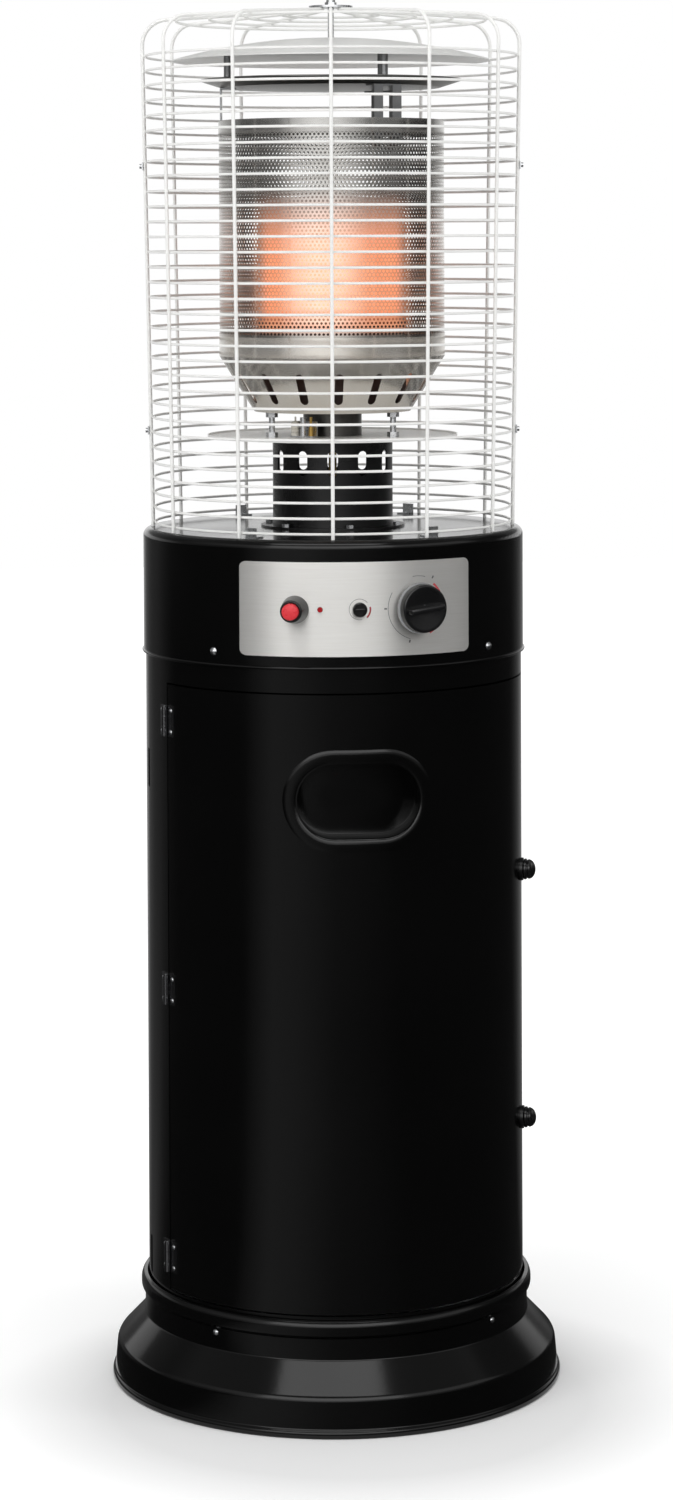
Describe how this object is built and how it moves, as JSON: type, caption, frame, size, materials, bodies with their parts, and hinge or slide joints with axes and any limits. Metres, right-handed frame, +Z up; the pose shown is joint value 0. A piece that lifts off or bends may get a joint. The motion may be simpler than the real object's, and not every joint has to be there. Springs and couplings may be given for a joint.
{
  "type": "patio heater",
  "caption": "Free-standing round gas patio heater: black bottle cabinet with hinged door, control head, perforated emitter with reflectors, and a domed wire guard.",
  "frame": {"origin": "middle of the base on the floor", "axes": "+Z up, -Y towards the control panel and door, +X to the viewer's right"},
  "size_m": [0.454, 0.454, 1.3876],
  "materials": {
    "black_enamel": "gloss black enamel on sheet steel",
    "black_satin": "satin black enamel",
    "black_plastic": "moulded black, fine grain",
    "zinc_steel": "zinc plated",
    "grey_sheet": "dark grey paint",
    "brass": "machined",
    "red_plastic": "moulded, glossy",
    "plated_wire": "bright plated wire",
    "emitter_steel": "perforated stainless steel",
    "polished_steel": "polished stainless steel",
    "brushed_panel": "brushed stainless steel",
    "white_ceramic": "glazed",
    "reflector_sheet": "rolled sheet"
  },
  "bodies": {
    "heater_frame": {"base": "black_enamel", "bottle_shelf": "grey_sheet", "cabinet": "black_enamel", "deck_plate": "grey_sheet", "cabinet_hinge_leaves": "black_satin", "hinge_pins": "zinc_steel", "cabinet_hinge_screws": "zinc_steel", "head": "black_enamel", "head_screws": "zinc_steel", "base_screws": "zinc_steel", "control_panel": "brushed_panel", "gas_valve": "brass", "hose_nipple": "brass", "supply_pipe": "brass", "igniter_housing": "black_plastic", "pilot_lamp": "red_plastic", "dial_bush": "black_plastic", "tilt_switch": "grey_sheet", "burner_post": "black_enamel", "post_bolts": "zinc_steel", "heat_shield": "reflector_sheet", "burner_neck": "emitter_steel", "burner_standoffs": "zinc_steel", "pilot_burner": "zinc_steel", "ignition_electrode": "white_ceramic", "thermocouple": "brass", "emitter_cup": "polished_steel", "burner_head": "emitter_steel", "emitter_screen": "emitter_steel", "emitter_cap": "reflector_sheet", "reflector_brackets": "reflector_sheet", "lower_reflector": "reflector_sheet", "reflector_studs": "zinc_steel", "upper_reflector": "reflector_sheet", "top_rod": "zinc_steel", "guard_front": "plated_wire", "guard_back": "plated_wire", "guard_clips": "zinc_steel", "guard_feet": "zinc_steel", "guard_hub": "plated_wire", "top_nut": "zinc_steel"},
    "door_leaf": {"door": "black_enamel", "handle_dish": "black_satin", "door_hinge_leaves": "black_satin", "door_hinge_screws": "zinc_steel", "latch_plates": "black_plastic"},
    "upper_latch_turn": {"upper_latch": "black_plastic"},
    "lower_latch_turn": {"lower_latch": "black_plastic"},
    "valve_spindle": {"valve_stem": "zinc_steel"},
    "knob": {"control_knob": "black_plastic"},
    "igniter_button": {"ignition_button": "red_plastic"},
    "small_dial": {"slotted_dial": "black_plastic"}
  },
  "joints": [
    {"name": "door_hinge", "type": "hinge", "parent": "heater_frame", "child": "door_leaf", "pos_m": [-0.17822, -0.07382, 0.403], "axis": [0, 0, -1], "range_deg": [0, 110]},
    {"name": "upper_latch_hinge", "type": "hinge", "parent": "door_leaf", "child": "upper_latch_turn", "pos_m": [0.18216, -0.05223, 0.513], "axis": [0.9613, -0.2756, 0], "range_deg": [0, 90]},
    {"name": "lower_latch_hinge", "type": "hinge", "parent": "door_leaf", "child": "lower_latch_turn", "pos_m": [0.18216, -0.05223, 0.262], "axis": [0.9613, -0.2756, 0], "range_deg": [0, 90]},
    {"name": "knob_push", "type": "slide", "parent": "heater_frame", "child": "valve_spindle", "axis": [-0.3007, 0.9537, 0], "range_m": [0, 0.004], "stiffness_N_per_m": 900},
    {"name": "knob_turn", "type": "hinge", "parent": "valve_spindle", "child": "knob", "pos_m": [0.06014, -0.19074, 0.792], "axis": [0.3007, -0.9537, 0], "range_deg": [0, 180]},
    {"name": "button_press", "type": "slide", "parent": "heater_frame", "child": "igniter_button", "axis": [0.3173, 0.9483, 0], "range_m": [0, 0.005], "stiffness_N_per_m": 500},
    {"name": "dial_turn", "type": "hinge", "parent": "heater_frame", "child": "small_dial", "pos_m": [0, -0.195, 0.792], "axis": [0, -1, 0], "range_deg": [0, 90]}
  ]
}
